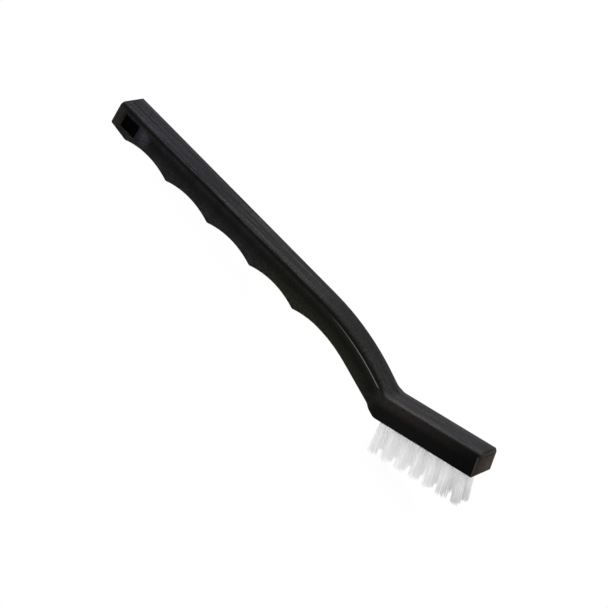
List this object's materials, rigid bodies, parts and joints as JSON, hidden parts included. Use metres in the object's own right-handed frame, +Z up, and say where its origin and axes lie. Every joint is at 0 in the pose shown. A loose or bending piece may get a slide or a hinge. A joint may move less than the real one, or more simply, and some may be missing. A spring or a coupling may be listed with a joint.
{
  "type": "utility cleaning brush",
  "caption": "Narrow toothbrush-style cleaning brush with a scalloped grip, hang slot, cranked neck and stiff trimmed bristles.",
  "frame": {"origin": "middle of the footprint, on the surface the brush stands on", "axes": "+X along the brush from the tail to the nose, +Z up, +Y across the brush, with the brush standing on its rear bristle tips and the tail end of its grip"},
  "size_m": [0.1886, 0.0128, 0.0368],
  "materials": {
    "black_plastic": "moulded black plastic, satin, with faint flow streaks",
    "white_nylon": "cut nylon filament, translucent white",
    "anchor_brass": "flat stamped metal, hidden in the holes"
  },
  "bodies": {
    "root": {"handle": "black_plastic", "tuft_1_1": "white_nylon", "tuft_1_2": "white_nylon", "tuft_1_3": "white_nylon", "tuft_1_4": "white_nylon", "tuft_1_5": "white_nylon", "tuft_1_6": "white_nylon", "tuft_1_7": "white_nylon", "tuft_2_1": "white_nylon", "tuft_2_2": "white_nylon", "tuft_2_3": "white_nylon", "tuft_2_4": "white_nylon", "tuft_2_5": "white_nylon", "tuft_2_6": "white_nylon", "tuft_2_7": "white_nylon", "tuft_anchors": "anchor_brass"}
  },
  "joints": []
}
